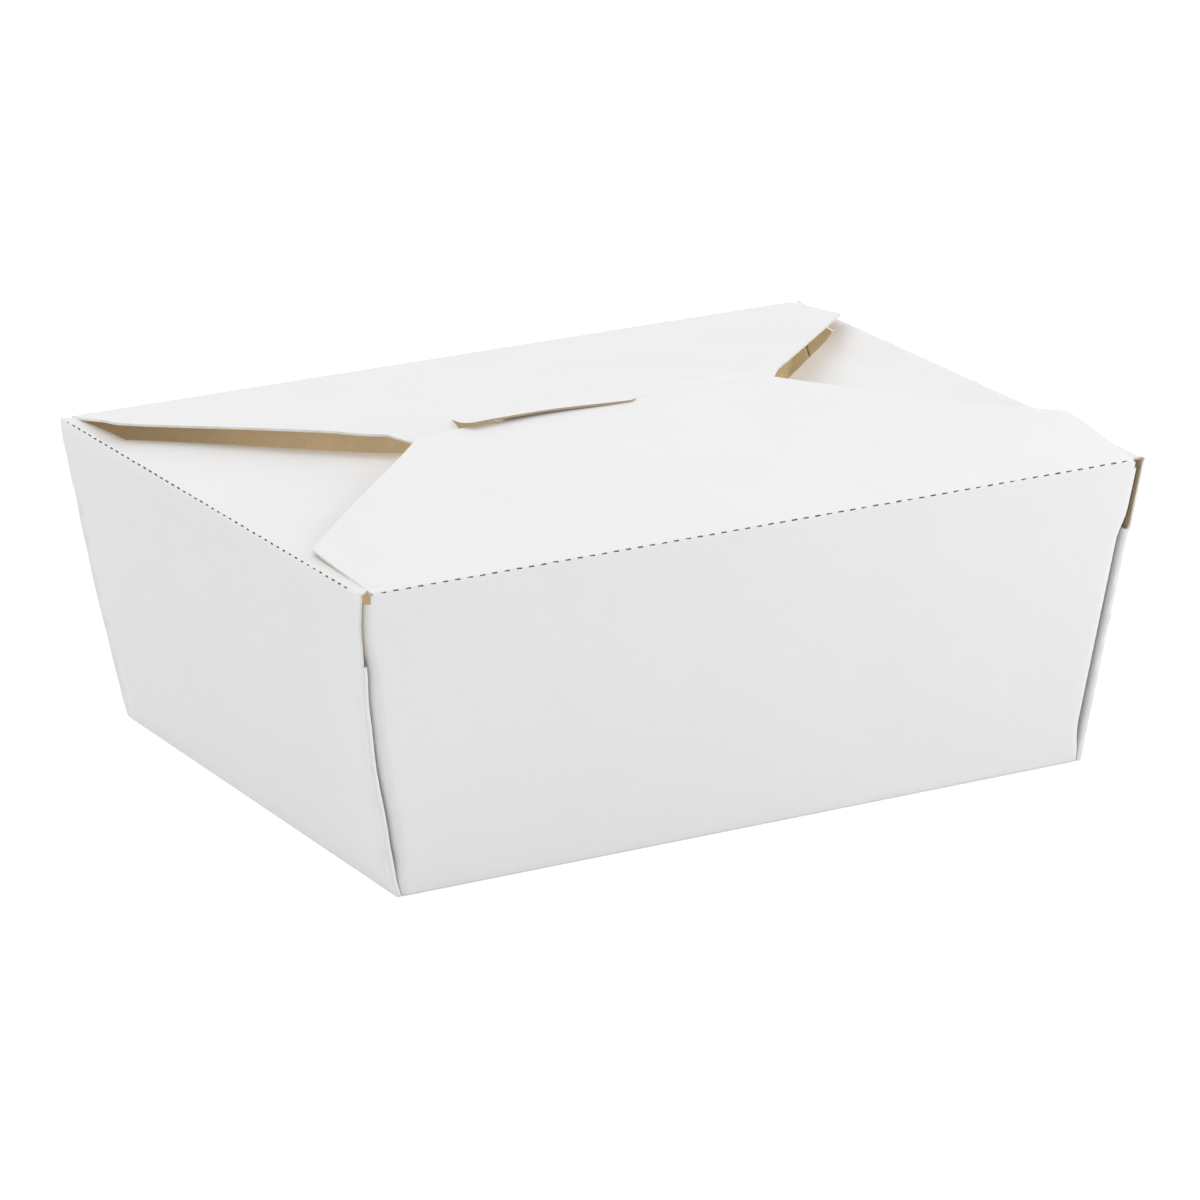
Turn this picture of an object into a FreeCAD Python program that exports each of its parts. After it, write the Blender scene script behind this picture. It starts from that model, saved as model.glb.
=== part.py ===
import FreeCAD, Part
import os

import Sketcher

# A folded takeout food box of coated card, closed by a tab in a slit.
# The carton is one folded sheet: floor, four leaning walls, a pleated web in each corner,
# two end flaps and two main flaps. The front main flap lies over the bent lip of the rear
# one, and its tab passes through the slit behind the rear flap's tongue.

SIZES = {
    "base_length": 152.5,      # floor, left to right
    "base_width": 120.5,       # floor, front to rear
    "rim_length": 171.5,       # outside of the walls at the top hinges
    "rim_width": 133.5,
    "wall_height": 63.0,       # floor to top hinges
    "card": 0.45,              # thickness of the sheet
    "base_round": 0.3,         # rounded crease round the floor
    "hinge_gap": 0.3,          # running gap under the front flap's hinge
    "layer_gap": 0.2,          # air between the folded layers in a corner
    "web_reach": 49.0,         # how far up the corner the web is joined to the end wall
    "web_tall": 61.5,          # and to the front or rear wall
    "web_fold": 43.0,          # length of the web's own middle fold
    "web_turn": 37.85,         # degrees between that fold and the corner
    "fold_start": 3.0,         # closed foot of the groove down a corner
    "notch_width": 1.9,        # hole at the top of a corner, from the end wall's face
    "notch_depth": 1.7,
    "cut_pitch": 2.57,         # perforated hinges: from cut to cut
    "cut_length": 1.3,
    "side_cuts_inset": 4.8,    # from a corner to the first cut of a long hinge
    "end_cuts_rear": 1.7,      # from the rear corner to the first cut of an end hinge
    "end_cuts_front": 8.4,     # from the front corner to its last cut
    "flap_inset": 2.35,        # from the corner to the side of a main flap
    "ear_reach": 24.75,        # straight side of a main flap, from its hinge
    "ear_round": 1.6,
    "diagonal": 45.0,          # degrees of a main flap's slanted sides
    "crease_back": 4.0,        # rear flap's crease, behind the middle
    "crease_rise": 7.5,        # and above the rim
    "lip_turn": 26.0,          # degrees that the lip bends below level
    "lip_reach": 10.0,
    "tongue_left": 30.3,       # left and right of the middle
    "tongue_right": 11.5,
    "tongue_reach": 5.4,
    "tongue_round": 2.4,
    "front_past": 0.8,         # front flap's far edge, behind the middle
    "seat_gap": 0.15,          # between the lip and the front flap on it
    "tab_left": 21.0,
    "tab_right": 10.0,
    "tab_reach": 9.0,
    "tab_turn": 12.0,          # degrees that the tab dips under the rear flap
    "tab_round": 4.0,
    "end_inset": 1.55,         # from the corner to the end flap at its hinge
    "end_step": 4.4,           # shallow first stretch of an end flap's side
    "end_shoulder": 45.0,      # half width of an end flap after that stretch
    "end_tip": 2.4,            # half width of its tip
    "end_rise": 3.8,           # height of an end flap's tip above the rim
    "end_round": 3.0,
}

doc = FreeCAD.newDocument("food_box")
sizes = doc.addObject("Spreadsheet::Sheet", "sizes")
for row, (word, number) in enumerate(SIZES.items(), start=1):
    sizes.set(f"A{row}", word)
    sizes.set(f"B{row}", str(number))
    sizes.setAlias(f"B{row}", word)
doc.recompute()

# Slopes of the walls and flaps, and places worked out from the driving sizes.
END_LEAN = "atan((sizes.rim_length - sizes.base_length) / 2 / sizes.wall_height)"
SIDE_LEAN = "atan((sizes.rim_width - sizes.base_width) / 2 / sizes.wall_height)"
FLAP_HALF = "(sizes.rim_length / 2 - sizes.flap_inset)"
REAR_RUN = "(sizes.rim_width / 2 - sizes.crease_back)"
REAR_SLOPE = f"atan(sizes.crease_rise / {REAR_RUN})"
REAR_REACH = f"({REAR_RUN} / cos({REAR_SLOPE}))"
FRONT_RUN = "(sizes.rim_width / 2 + sizes.front_past)"
LIP_DROP = "((sizes.crease_back - sizes.front_past) * tan(sizes.lip_turn * 1deg))"
FRONT_RISE = f"(sizes.crease_rise - {LIP_DROP} + sizes.seat_gap + sizes.card)"
FRONT_SLOPE = f"atan({FRONT_RISE} / {FRONT_RUN})"
FRONT_REACH = f"({FRONT_RUN} / cos({FRONT_SLOPE}))"
END_SLANT = "((sizes.end_shoulder - sizes.end_tip) / tan(sizes.diagonal * 1deg))"
END_REACH = f"(sizes.end_step + {END_SLANT})"
END_SLOPE = f"asin(sizes.end_rise / {END_REACH})"
SIDE_CUTS = "(sizes.side_cuts_inset - sizes.rim_length / 2)"
END_CUTS = "(sizes.end_cuts_front - sizes.rim_width / 2)"
HINGE_CUT = "(2 * sizes.card)"


def half_width(reach):
    """Half the width of a main flap at a distance from its hinge, past the ears."""
    return f"({FLAP_HALF} - ({reach} - sizes.ear_reach) * tan(sizes.diagonal * 1deg))"


def number(expression):
    """What an expression over the sheet comes to, as a plain number."""
    result = sizes.evalExpression(expression)
    return getattr(result, "Value", result)


def new_body(label):
    body = doc.addObject("PartDesign::Body", label)
    body.Label = label
    return body


def origin_plane(body, role):
    return next(item for item in body.Origin.OriginFeatures if item.Role == role)


def outline(body, name, plane, corners, at=("0", "0", "0"), turn="0", about=(1, 0, 0)):
    """A closed outline on an origin plane, moved by at and turned about its hinge."""
    sketch = body.newObject("Sketcher::SketchObject", name)
    sketch.AttachmentSupport = [(origin_plane(body, plane), "")]
    sketch.MapMode = "FlatFace"
    start = FreeCAD.Rotation(FreeCAD.Vector(*about), 1)
    sketch.AttachmentOffset = FreeCAD.Placement(FreeCAD.Vector(), start)
    for side, place in zip("xyz", at):
        sketch.setExpression(f"AttachmentOffset.Base.{side}", place)
    sketch.setExpression("AttachmentOffset.Rotation.Angle", turn)
    return closed(sketch, corners)


def closed(sketch, corners):
    """Lines through the corners, each held at its two distances from the origin."""
    spots = [FreeCAD.Vector(number(across), number(along), 0) for across, along in corners]
    for start, end in zip(spots, spots[1:] + spots[:1]):
        sketch.addGeometry(Part.LineSegment(start, end))
    for edge in range(len(spots)):
        following = (edge + 1) % len(spots)
        sketch.addConstraint(Sketcher.Constraint("Coincident", edge, 2, following, 1))
    for edge, (spot, corner) in enumerate(zip(spots, corners)):
        for kind, value, expression in zip(("DistanceX", "DistanceY"), spot, corner):
            made = sketch.addConstraint(Sketcher.Constraint(kind, -1, 1, edge, 1, value))
            sketch.setExpression(f"Constraints[{made}]", expression)
    sketch.Visibility = False
    doc.recompute()
    return sketch


def cut_or_pad(body, kind, name, sketch, length, backward=False):
    """A pad or pocket of a sketch's outline, on its front side or backward of it."""
    made = body.newObject(f"PartDesign::{kind}", name)
    made.Profile = (sketch, [""])
    made.setExpression("Length", length)
    made.Reversed = backward
    body.Tip = made
    doc.recompute()
    return made


def round_corners(body, name, sketch, corners, radius):
    """Round a sheet's short upright edges at some corners of its outline."""
    base = body.Tip
    near = [sketch.Placement.multVec(FreeCAD.Vector(number(across), number(along), 0))
            for across, along in corners]
    found = []
    for index, edge in enumerate(base.Shape.Edges, start=1):
        short = edge.Length < 1.2 * number("sizes.card")
        middle = edge.CenterOfMass
        if short and any(middle.distanceToPoint(spot) < number("sizes.card") for spot in near):
            found.append(f"Edge{index}")
    made = body.newObject("PartDesign::Fillet", name)
    made.Base = (base, found)
    made.setExpression("Radius", radius)
    body.Tip = made
    doc.recompute()
    return made


def rectangle(length, width):
    return [(f"-({length}) / 2", f"-({width}) / 2"), (f"({length}) / 2", f"-({width}) / 2"),
            (f"({length}) / 2", f"({width}) / 2"), (f"-({length}) / 2", f"({width}) / 2")]


def faces_toward(shape, direction):
    """Names of the flat faces that look mostly one way or its opposite."""
    found = []
    for index, face in enumerate(shape.Faces, start=1):
        if abs(face.normalAt(0, 0).dot(FreeCAD.Vector(*direction))) > 0.7:
            found.append(f"Face{index}")
    return found


def lean(body, name, direction, angle):
    """Lean a pair of opposite walls outward, with the floor's outline as it was."""
    base = body.Tip
    floor = min(range(6), key=lambda index: base.Shape.Faces[index].CenterOfMass.z)
    made = body.newObject("PartDesign::Draft", name)
    made.Base = (base, faces_toward(base.Shape, direction))
    made.NeutralPlane = (base, [f"Face{floor + 1}"])
    made.setExpression("Angle", angle)
    made.Reversed = True
    body.Tip = made
    doc.recompute()
    return made


def walls_and_floor(body):
    """The four leaning walls and the floor, hollowed to the sheet's thickness."""
    floor = outline(body, "floor_outline", "XY_Plane",
                    rectangle("sizes.base_length", "sizes.base_width"))
    cut_or_pad(body, "Pad", "block", floor, "sizes.wall_height")
    lean(body, "end_walls", (1, 0, 0), END_LEAN)
    lean(body, "side_walls", (0, 1, 0), SIDE_LEAN)
    base = body.Tip
    top = max(range(6), key=lambda index: base.Shape.Faces[index].CenterOfMass.z)
    hollow = body.newObject("PartDesign::Thickness", "walls")
    hollow.Base = (base, [f"Face{top + 1}"])
    hollow.setExpression("Value", "sizes.card")
    hollow.Reversed = True
    hollow.Join = "Intersection"
    body.Tip = hollow
    doc.recompute()
    creases = []
    for index, edge in enumerate(hollow.Shape.Edges, start=1):
        if edge.BoundBox.ZMax < number("sizes.card") / 2:
            creases.append(f"Edge{index}")
    rounded = body.newObject("PartDesign::Fillet", "base_creases")
    rounded.Base = (hollow, creases)
    rounded.setExpression("Radius", "sizes.base_round")
    body.Tip = rounded
    doc.recompute()


def corner(body, side, end):
    """One corner: its web folded in two against the end wall, and the cuts round it."""
    name = f"{'right' if side > 0 else 'left'}_{'rear' if end > 0 else 'front'}"
    turn = f"{side} * {END_LEAN}"
    tilt = f"atan((sizes.rim_width - sizes.base_width) / 2 * cos({END_LEAN}) / sizes.wall_height)"
    fold = f"(sizes.web_turn * 1deg - {tilt})"
    root = "(sizes.base_width - sizes.card) / 2"
    rim = f"(sizes.wall_height / cos({END_LEAN}) / cos({tilt}))"
    second = "(sizes.card + sizes.layer_gap)"
    third = f"(2 * {second})"

    def on_corner(reach, inward="0"):
        return (f"{end} * ({root} + ({reach}) * sin({tilt}) - {inward})",
                f"({reach}) * cos({tilt})")

    def on_fold(reach, inward="0"):
        return (f"{end} * ({root} - ({reach}) * sin({fold}) + {inward} * cos({fold}))",
                f"({reach}) * cos({fold}) + {inward} * sin({fold})")

    def layer(word, kind, points, depth, thickness):
        """Material added or cut between two depths behind the end wall's outer face."""
        place = f"{side} * (sizes.base_length / 2 - {depth} / cos({END_LEAN}))"
        sketch = outline(body, f"{word}_outline_{name}", "YZ_Plane", points,
                         ("0", "0", place), turn)
        backward = side > 0 if kind == "Pad" else side < 0
        cut_or_pad(body, kind, f"{word}_{name}", sketch, thickness, backward)

    def strip(low, high):
        """A stretch of the corner, from outside the wall to just inside it."""
        return [on_corner(low, "-4 * sizes.card"), on_corner(high, "-4 * sizes.card"),
                on_corner(high, "sizes.card"), on_corner(low, "sizes.card")]

    foot = on_corner("sizes.card / 2")
    end_half = [foot, on_corner("sizes.web_reach"), on_fold("sizes.web_fold")]
    side_half = [foot, on_corner("sizes.web_tall"), on_fold("sizes.web_fold")]
    bend = [on_fold("sizes.card"), on_fold("sizes.web_fold"),
            on_fold("sizes.web_fold", "sizes.card"), on_fold("sizes.fold_start", "sizes.card")]
    layer("web_end_half", "Pad", end_half, second, "sizes.card")
    layer("web_side_half", "Pad", side_half, third, "sizes.card")
    layer("web_bend", "Pad", bend, f"({third} - sizes.layer_gap)", "sizes.layer_gap")
    layer("groove", "Pocket", strip("sizes.fold_start", "sizes.web_reach"),
          f"({third} - sizes.layer_gap)", "sizes.layer_gap")
    layer("slit", "Pocket", strip("sizes.web_reach", f"{rim} + 1"), "sizes.card",
          f"{third} - sizes.card")
    layer("notch", "Pocket", strip(f"{rim} - sizes.notch_depth", f"{rim} + 1"), "sizes.card",
          "sizes.notch_width - sizes.card")


def front_rim(body):
    """The front wall's top edge, cut down to clear the front flap's hinge."""
    span = "sizes.rim_length - 4 * sizes.card"
    strip = rectangle(span, "8 * sizes.card")
    at = ("0", "-sizes.rim_width / 2", "sizes.wall_height")
    sketch = outline(body, "front_rim_outline", "XY_Plane", strip, at)
    cut_or_pad(body, "Pocket", "front_rim", sketch, "sizes.card + sizes.hinge_gap")


def perforate(body, name, axis, first, count, reach, at, depth):
    """A row of short cuts along a hinge: one sketched cut, repeated at the pitch."""
    near, far = f"{first} - sizes.cut_length / 2", f"{first} + sizes.cut_length / 2"
    points = [(near, f"-{reach}"), (far, f"-{reach}"), (far, reach), (near, reach)]
    if axis == "y":
        points = [(across, along) for along, across in reversed(points)]
    sketch = outline(body, f"{name}_outline", "XY_Plane", points, at)
    cut = cut_or_pad(body, "Pocket", name, sketch, depth)
    row = body.newObject("PartDesign::LinearPattern", f"{name}_row")
    row.Originals = [cut]
    row.Direction = (sketch, ["H_Axis" if axis == "x" else "V_Axis"])
    row.Occurrences = count
    row.Refine = False
    row.setExpression("Length", f"{count - 1} * sizes.cut_pitch")
    body.Tip = row
    doc.recompute()


def cuts_between(start, stop):
    """How many cuts at the pitch fit between two places on a hinge."""
    return int((number(stop) - number(start)) / number("sizes.cut_pitch") + 1.001)


def end_flap(body, side):
    """A pointed flap on an end wall, its tip tucked up under the main flaps."""
    name = "end_flap_right" if side > 0 else "end_flap_left"
    at = (f"{side} * sizes.rim_length / 2", "0", "sizes.wall_height")
    root = "(sizes.rim_width / 2 - sizes.end_inset)"
    points = [("0", root), ("sizes.end_step", "sizes.end_shoulder"),
              (END_REACH, "sizes.end_tip")]
    near = [(f"{-side} * {reach}", half) for reach, half in points]
    far = [(reach, f"-{half}") for reach, half in reversed(near)]
    sketch = outline(body, f"{name}_outline", "XY_Plane", near + far, at,
                     f"{side} * {END_SLOPE}", (0, 1, 0))
    cut_or_pad(body, "Pad", name, sketch, "sizes.card", True)
    round_corners(body, f"{name}_tip", sketch, [near[2], far[0]], "sizes.end_round")


def rear_flap(body):
    """The rear main flap with its tongue, and the lip bent down round the tongue."""
    at = ("0", "sizes.rim_width / 2", "sizes.wall_height")
    half = half_width(REAR_REACH)
    crease = f"-{REAR_REACH}"
    tip = f"-({REAR_REACH} + sizes.tongue_reach)"
    ears = [(f"-{FLAP_HALF}", "-sizes.ear_reach"), (FLAP_HALF, "-sizes.ear_reach")]
    tongue = [("sizes.tongue_right", tip), ("-sizes.tongue_left", tip)]
    panel = [(f"-{FLAP_HALF}", "0"), ears[0], (f"-{half}", crease),
             ("-sizes.tongue_left", crease), tongue[1], tongue[0],
             ("sizes.tongue_right", crease), (half, crease), ears[1], (FLAP_HALF, "0")]
    sketch = outline(body, "rear_flap_outline", "XY_Plane", panel, at, f"-{REAR_SLOPE}")
    cut_or_pad(body, "Pad", "rear_flap", sketch, "sizes.card", True)
    round_corners(body, "rear_ears", sketch, ears, "sizes.ear_round")
    round_corners(body, "tongue_corners", sketch, tongue, "sizes.tongue_round")
    at = ("0", "sizes.crease_back", "sizes.wall_height + sizes.crease_rise")
    edge = half_width(f"({REAR_REACH} + sizes.lip_reach)")
    lip = [(f"-{half}", "0"), (f"-{edge}", "-sizes.lip_reach"), (edge, "-sizes.lip_reach"),
           (half, "0"), ("sizes.tongue_right", "0"),
           ("sizes.tongue_right", "-sizes.tongue_reach"),
           ("-sizes.tongue_left", "-sizes.tongue_reach"), ("-sizes.tongue_left", "0")]
    sketch = outline(body, "lip_outline", "XY_Plane", lip, at, "sizes.lip_turn * 1deg")
    cut_or_pad(body, "Pad", "lip", sketch, "sizes.card", True)


def front_rim(body):
    """The front wall's top edge, cut down to clear the front flap's hinge."""
    span = "sizes.rim_length - 4 * sizes.card"
    strip = rectangle(span, "8 * sizes.card")
    at = ("0", "-sizes.rim_width / 2", "sizes.wall_height")
    sketch = outline(body, "front_rim_outline", "XY_Plane", strip, at)
    cut_or_pad(body, "Pocket", "front_rim", sketch, "sizes.card + sizes.hinge_gap")


def front_flap(body):
    """The front main flap, and the tab that dips from its far edge."""
    at = ("0", "-sizes.rim_width / 2", "sizes.wall_height")
    half = half_width(FRONT_REACH)
    ears = [(f"-{FLAP_HALF}", "sizes.ear_reach"), (FLAP_HALF, "sizes.ear_reach")]
    panel = [(f"-{FLAP_HALF}", "0"), (FLAP_HALF, "0"), ears[1], (half, FRONT_REACH),
             (f"-{half}", FRONT_REACH), ears[0]]
    sketch = outline(body, "front_flap_outline", "XY_Plane", panel, at, FRONT_SLOPE)
    cut_or_pad(body, "Pad", "front_panel", sketch, "sizes.card", True)
    round_corners(body, "front_ears", sketch, ears, "sizes.ear_round")
    at = ("0", "sizes.front_past", f"sizes.wall_height + {FRONT_RISE}")
    tips = [("sizes.tab_right", "sizes.tab_reach"), ("-sizes.tab_left", "sizes.tab_reach")]
    tab = [("-sizes.tab_left", "0"), ("sizes.tab_right", "0")] + tips
    sketch = outline(body, "tab_outline", "XY_Plane", tab, at, "-sizes.tab_turn * 1deg")
    cut_or_pad(body, "Pad", "tab", sketch, "sizes.card", True)
    round_corners(body, "tab_corners", sketch, tips, "sizes.tab_round")


carton = new_body("carton")
walls_and_floor(carton)
for side in (-1, 1):
    for end in (-1, 1):
        corner(carton, side, end)
front_rim(carton)
for side in (-1, 1):
    end_flap(carton, side)
rear_flap(carton)
lid = new_body("front_flap")
front_flap(lid)

above_rim = "sizes.wall_height + sizes.card"
long_cuts = cuts_between(SIDE_CUTS, f"-{SIDE_CUTS}")
perforate(carton, "rear_cut", "x", SIDE_CUTS, long_cuts, HINGE_CUT,
          ("0", "sizes.rim_width / 2", above_rim), HINGE_CUT)
perforate(lid, "front_cut", "x", SIDE_CUTS, long_cuts, "sizes.card",
          ("0", "-sizes.rim_width / 2", above_rim), f"2 * {HINGE_CUT}")
short_cuts = cuts_between(END_CUTS, "sizes.rim_width / 2 - sizes.end_cuts_rear")
for side in (-1, 1):
    row_name = "right_cut" if side > 0 else "left_cut"
    perforate(carton, row_name, "y", END_CUTS, short_cuts, HINGE_CUT,
              (f"{side} * sizes.rim_length / 2", "0", above_rim), HINGE_CUT)
doc.recompute()

for item in doc.Objects:
    failed = [word for word in item.State if word in ("Invalid", "Error")]
    if failed:
        raise RuntimeError(f"{item.Label} is {failed}")
os.makedirs("parts", exist_ok=True)
for body in (carton, lid):
    shape = body.Shape
    if shape.isNull() or not shape.isValid() or len(shape.Solids) != 1:
        raise RuntimeError(f"{body.Label} isn't one valid solid")
    shape.exportStep(f"parts/{body.Label}.step")
    box = shape.BoundBox
    print(body.Label, round(shape.Volume, 1), "mm3,", round(box.XMin, 2), round(box.XMax, 2),
          round(box.YMin, 2), round(box.YMax, 2), round(box.ZMin, 2), round(box.ZMax, 2))
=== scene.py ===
import math

import bpy
from mathutils import Matrix, Vector, noise


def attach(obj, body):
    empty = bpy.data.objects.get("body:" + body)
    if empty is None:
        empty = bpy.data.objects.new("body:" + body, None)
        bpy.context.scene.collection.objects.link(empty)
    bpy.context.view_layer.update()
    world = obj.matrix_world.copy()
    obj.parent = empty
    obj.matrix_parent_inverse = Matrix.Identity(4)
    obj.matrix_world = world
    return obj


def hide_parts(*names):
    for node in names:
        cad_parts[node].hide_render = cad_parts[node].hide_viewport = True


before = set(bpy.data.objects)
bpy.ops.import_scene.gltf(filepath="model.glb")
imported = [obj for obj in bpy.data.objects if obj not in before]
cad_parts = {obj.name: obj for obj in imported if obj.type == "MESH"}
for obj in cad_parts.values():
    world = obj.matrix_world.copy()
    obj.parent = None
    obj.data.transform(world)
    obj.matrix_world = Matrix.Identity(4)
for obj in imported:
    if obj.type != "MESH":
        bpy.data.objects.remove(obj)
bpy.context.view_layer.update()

mm = 0.001
hair = 1e-6                 # mm, a place this close to a line is on it
slack = 0.01                # mm, keeps a test or a row clear of the line beside it


# what the card looks like, in the order outside, inside, cut edge

cardLooks = {
    "coatedWhite": {
        "colour": (0.905, 0.905, 0.912),
        "darkest": 0.985,        # of that colour, in its clouds and specks
        "cloudScale": 45,
        "fibreScale": 1500,
        "roughness": 0.5,
        "relief": 0.03,          # mm
    },
    "brownInside": {
        "colour": (0.49, 0.40, 0.263),
        "darkest": 0.90,
        "cloudScale": 90,
        "fibreScale": 900,
        "roughness": 0.85,
        "relief": 0.08,
    },
    "cutEdge": {
        "colour": (0.89, 0.865, 0.81),
        "darkest": 0.88,
        "cloudScale": 300,
        "fibreScale": 1800,
        "roughness": 0.9,
        "relief": 0.08,
    },
}

cardPattern = {              # the same on all three
    "cloudDetail": 4,
    "cloudRough": 0.6,
    "cloudRange": (0.35, 0.65),
    "fibreDetail": 6,
    "fibreRough": 0.7,
    "fibreRange": (0.3, 0.7),
    "glossRange": (0.3, 0.7),
    "glossSpread": 0.06,     # of the roughness, more and less
    "reliefStrength": 0.35,
    "specular": 0.35,
}


def noiseNode(tree, place, scale, detail, rough):
    texture = tree.nodes.new("ShaderNodeTexNoise")
    texture.inputs["Scale"].default_value = scale
    texture.inputs["Detail"].default_value = detail
    texture.inputs["Roughness"].default_value = rough
    tree.links.new(place.outputs["Object"], texture.inputs["Vector"])
    return texture.outputs["Fac"]


def ramp(tree, source, span, dark, light):
    node = tree.nodes.new("ShaderNodeValToRGB")
    first, last = node.color_ramp.elements
    first.position, last.position = span
    first.color, last.color = (*dark, 1), (*light, 1)
    tree.links.new(source, node.inputs["Fac"])
    return node.outputs["Color"]


def shade(colour, by):
    return tuple(v * by for v in colour)


def cardMaterial(name, look):
    material = bpy.data.materials.new(name)
    material.use_nodes = True
    tree = material.node_tree
    tree.nodes.clear()
    shader = tree.nodes.new("ShaderNodeBsdfPrincipled")
    out = tree.nodes.new("ShaderNodeOutputMaterial")
    tree.links.new(shader.outputs[0], out.inputs["Surface"])
    place = tree.nodes.new("ShaderNodeTexCoord")
    pattern, colour, even = cardPattern, look["colour"], (1, 1, 1)

    clouds = noiseNode(tree, place, look["cloudScale"], pattern["cloudDetail"], pattern["cloudRough"])
    tone = ramp(tree, clouds, pattern["cloudRange"], shade(colour, look["darkest"]), colour)
    fibres = noiseNode(tree, place, look["fibreScale"], pattern["fibreDetail"], pattern["fibreRough"])
    specks = ramp(tree, fibres, pattern["fibreRange"], shade(even, look["darkest"]), even)
    mix = tree.nodes.new("ShaderNodeMix")
    mix.data_type, mix.blend_type = "RGBA", "MULTIPLY"
    mix.inputs[0].default_value = 1
    tree.links.new(tone, mix.inputs[6])
    tree.links.new(specks, mix.inputs[7])
    tree.links.new(mix.outputs[2], shader.inputs["Base Color"])

    glossy, matt = look["roughness"] - pattern["glossSpread"], look["roughness"] + pattern["glossSpread"]
    rough = ramp(tree, clouds, pattern["glossRange"], (glossy,) * 3, (matt,) * 3)
    tree.links.new(rough, shader.inputs["Roughness"])
    relief = tree.nodes.new("ShaderNodeBump")
    relief.inputs["Strength"].default_value = pattern["reliefStrength"]
    relief.inputs["Distance"].default_value = look["relief"] * mm
    tree.links.new(fibres, relief.inputs["Height"])
    tree.links.new(relief.outputs["Normal"], shader.inputs["Normal"])
    shader.inputs["Specular IOR Level"].default_value = pattern["specular"]
    return material


cardFaces = [cardMaterial(name, look) for name, look in cardLooks.items()]
print("card materials made")


# the camera, fitted to the eight corners of the box in the photo

cameraSetup = {
    "lens": 195.0,           # mm on a 36 mm sensor
    "sensor": 36.0,
    "azimuth": -28.61,       # degrees round the box, minus is to its left
    "elevation": 18.14,
    "roll": -0.583,
    "distance": 1.3038,      # metres from the middle of the floor, along the view
    "originX": 598.86,       # where the middle of the floor lands in the 1200 pixel picture
    "originY": 738.02,
    "middle": 600,           # of that picture
    "focal": 6500.65,        # the lens, in those pixels
    "nearest": 0.05,
    "furthest": 20,
}


def makeCamera(setup):
    az, el, roll = (math.radians(setup[name]) for name in ("azimuth", "elevation", "roll"))
    back = Vector((math.sin(az) * math.cos(el), -math.cos(az) * math.cos(el), math.sin(el)))
    level = Vector((0, 0, 1)).cross(back).normalized()
    upright = back.cross(level)
    right = level * math.cos(roll) + upright * math.sin(roll)
    up = upright * math.cos(roll) - level * math.sin(roll)
    aside = (setup["originX"] - setup["middle"]) / setup["focal"] * setup["distance"]
    above = (setup["middle"] - setup["originY"]) / setup["focal"] * setup["distance"]
    data = bpy.data.cameras.new("camera")
    data.lens, data.sensor_width, data.sensor_fit = setup["lens"], setup["sensor"], "HORIZONTAL"
    data.clip_start, data.clip_end = setup["nearest"], setup["furthest"]
    camera = bpy.data.objects.new("camera", data)
    bpy.context.scene.collection.objects.link(camera)
    camera.matrix_world = Matrix((right, up, back)).transposed().to_4x4()
    camera.location = back * setup["distance"] - right * aside - up * above
    bpy.context.scene.camera = camera
    print("camera at", [round(v, 4) for v in camera.location])


# the white studio

lightSetup = {
    "skyLevel": 0.95,        # even light from all round
    "keyPlace": (0.45, -0.35, 0.25),
    "keySize": 0.35,
    "keyWatts": 0.9,
    "fillPlace": (-0.5, 0.65, 1.05),
    "fillSize": 0.8,
    "fillWatts": 3.9,
    "aim": (0, 0, 0.04),     # where both lamps point
    "insidePlaces": [(-0.025, 0.005, 0.032), (0.06, 0.03, 0.034)],
    "insideWatts": (0.085, 0.07),     # light that the real card lets through
    "insideSize": 0.025,
    "floorSize": 6,
    "floorColour": (0.80, 0.80, 0.80),
    "floorLift": 0.45,       # extra white the camera sees on the floor
}


def levelWhenSeen(tree, unseen, seen):
    # one value for what the camera sees, in a mirror and through glass too, another for its light
    path = tree.nodes.new("ShaderNodeLightPath")
    direct, either = tree.nodes.new("ShaderNodeMath"), tree.nodes.new("ShaderNodeMath")
    direct.operation = either.operation = "MAXIMUM"
    tree.links.new(path.outputs["Is Camera Ray"], direct.inputs[0])
    tree.links.new(path.outputs["Is Glossy Ray"], direct.inputs[1])
    tree.links.new(direct.outputs[0], either.inputs[0])
    tree.links.new(path.outputs["Is Transmission Ray"], either.inputs[1])
    level = tree.nodes.new("ShaderNodeMapRange")
    level.inputs["To Min"].default_value = unseen
    level.inputs["To Max"].default_value = seen
    tree.links.new(either.outputs[0], level.inputs["Value"])
    return level.outputs["Result"]


def makeSky(setup):
    world = bpy.context.scene.world or bpy.data.worlds.new("studio")
    bpy.context.scene.world = world
    world.use_nodes = True
    tree = world.node_tree
    tree.nodes.clear()
    sky, out = tree.nodes.new("ShaderNodeBackground"), tree.nodes.new("ShaderNodeOutputWorld")
    tree.links.new(levelWhenSeen(tree, setup["skyLevel"], 1.0), sky.inputs["Strength"])
    tree.links.new(sky.outputs[0], out.inputs["Surface"])


def makeFloor(setup):
    bpy.ops.mesh.primitive_plane_add(size=setup["floorSize"], location=(0, 0, 0))
    ground = bpy.context.object
    ground.name = "studioFloor"
    material = bpy.data.materials.new("studioFloor")
    material.use_nodes = True
    tree = material.node_tree
    tree.nodes.clear()
    matt, glow = tree.nodes.new("ShaderNodeBsdfDiffuse"), tree.nodes.new("ShaderNodeEmission")
    both, out = tree.nodes.new("ShaderNodeAddShader"), tree.nodes.new("ShaderNodeOutputMaterial")
    matt.inputs["Color"].default_value = (*setup["floorColour"], 1)
    tree.links.new(levelWhenSeen(tree, 0.0, setup["floorLift"]), glow.inputs["Strength"])
    tree.links.new(matt.outputs[0], both.inputs[0])
    tree.links.new(glow.outputs[0], both.inputs[1])
    tree.links.new(both.outputs[0], out.inputs["Surface"])
    ground.data.materials.append(material)


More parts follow.
